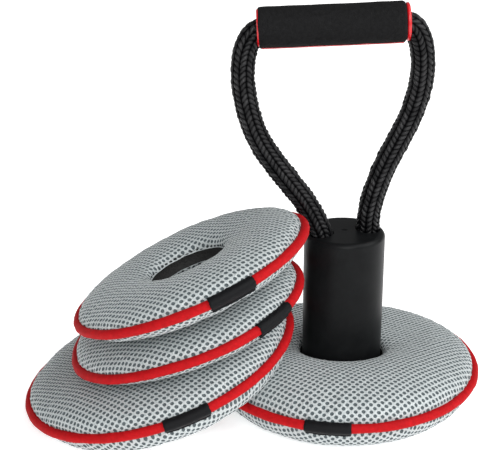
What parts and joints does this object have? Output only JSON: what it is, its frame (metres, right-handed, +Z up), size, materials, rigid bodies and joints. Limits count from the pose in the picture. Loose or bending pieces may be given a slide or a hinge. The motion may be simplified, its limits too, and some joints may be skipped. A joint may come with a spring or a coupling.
{
  "type": "adjustable soft kettlebell with ring weight bags",
  "caption": "Soft kettlebell: a round black core on a screw-off foot with a rope handle and foam grip, a ring-shaped sand bag round it and a leaning pile of spare rings.",
  "frame": {"origin": "middle of the foot's underside, on the floor", "axes": "+Z up along the core, +X along the grip as seen from above, so the front is at -Y"},
  "size_m": [0.3605, 0.2588, 0.3168],
  "materials": {
    "black_plastic": "satin",
    "black_rubber": "matte",
    "steel": "brushed",
    "black_braid": "braided",
    "red_plastic": "gloss",
    "black_foam": "matte",
    "grey_air_mesh": "woven",
    "red_piping": "woven",
    "black_lining": "woven",
    "inner_cloth": "woven",
    "sand": "rough",
    "black_ribbon": "woven"
  },
  "bodies": {
    "base": {"base_foot": "black_plastic"},
    "washer": {"rubber_washer": "black_rubber"},
    "core": {"core_tube": "black_plastic", "rope_yoke": "black_plastic", "rope_pins": "steel", "yoke_screws": "steel", "rope_tail_left": "black_braid", "rope_tail_right": "black_braid"},
    "handle": {"rope_loop": "black_braid"},
    "grip": {"grip_tube": "red_plastic", "grip_foam": "black_foam"},
    "core_ring": {"core_ring_top_panel": "grey_air_mesh", "core_ring_bottom_panel": "grey_air_mesh", "core_ring_piping": "red_piping", "core_ring_hole_lining": "black_lining", "core_ring_inner_liner": "inner_cloth", "core_ring_sand_fill": "sand", "core_ring_label": "black_ribbon"},
    "lower_ring": {"lower_ring_top_panel": "grey_air_mesh", "lower_ring_bottom_panel": "grey_air_mesh", "lower_ring_piping": "red_piping", "lower_ring_hole_lining": "black_lining", "lower_ring_inner_liner": "inner_cloth", "lower_ring_sand_fill": "sand", "lower_ring_label": "black_ribbon"},
    "middle_ring": {"middle_ring_top_panel": "grey_air_mesh", "middle_ring_bottom_panel": "grey_air_mesh", "middle_ring_piping": "red_piping", "middle_ring_hole_lining": "black_lining", "middle_ring_inner_liner": "inner_cloth", "middle_ring_sand_fill": "sand", "middle_ring_label": "black_ribbon"},
    "upper_ring": {"upper_ring_top_panel": "grey_air_mesh", "upper_ring_bottom_panel": "grey_air_mesh", "upper_ring_piping": "red_piping", "upper_ring_hole_lining": "black_lining", "upper_ring_inner_liner": "inner_cloth", "upper_ring_sand_fill": "sand", "upper_ring_label": "black_ribbon"}
  },
  "joints": [
    {"name": "core_turn", "type": "hinge", "parent": "base", "child": "washer", "pos_m": [0, 0, 0], "axis": [0, 0, 1], "range_deg": [0, 540]},
    {"name": "core_rise", "type": "slide", "parent": "washer", "child": "core", "axis": [0, 0, 1], "range_m": [0, 0.0091]},
    {"name": "handle_flex", "type": "hinge", "parent": "core", "child": "handle", "pos_m": [0, 0, 0.1381], "axis": [0.9659, 0.2588, 0], "range_deg": [-35, 12], "stiffness_Nm_per_rad": 1.5},
    {"name": "grip_spin", "type": "hinge", "parent": "handle", "child": "grip", "pos_m": [-0.01286, 0, 0.29919], "axis": [0.999, 0, 0.0451], "continuous": true},
    {"name": "core_ring_turn", "type": "hinge", "parent": "base", "child": "core_ring", "pos_m": [0, 0, 0], "axis": [0, 0, 1], "continuous": true},
    {"name": "lower_ring_lift", "type": "slide", "parent": "base", "child": "lower_ring", "axis": [-0.7032, -0.1055, 0.7032], "range_m": [0, 0.12]},
    {"name": "middle_ring_lift", "type": "slide", "parent": "lower_ring", "child": "middle_ring", "axis": [-0.7032, -0.1055, 0.7032], "range_m": [0, 0.12]},
    {"name": "upper_ring_lift", "type": "slide", "parent": "middle_ring", "child": "upper_ring", "axis": [-0.7032, -0.1055, 0.7032], "range_m": [0, 0.12]}
  ],
  "couplings": [
    {"joint": "core_rise", "follows": "core_turn", "m_per_rad": 0.00095493}
  ]
}
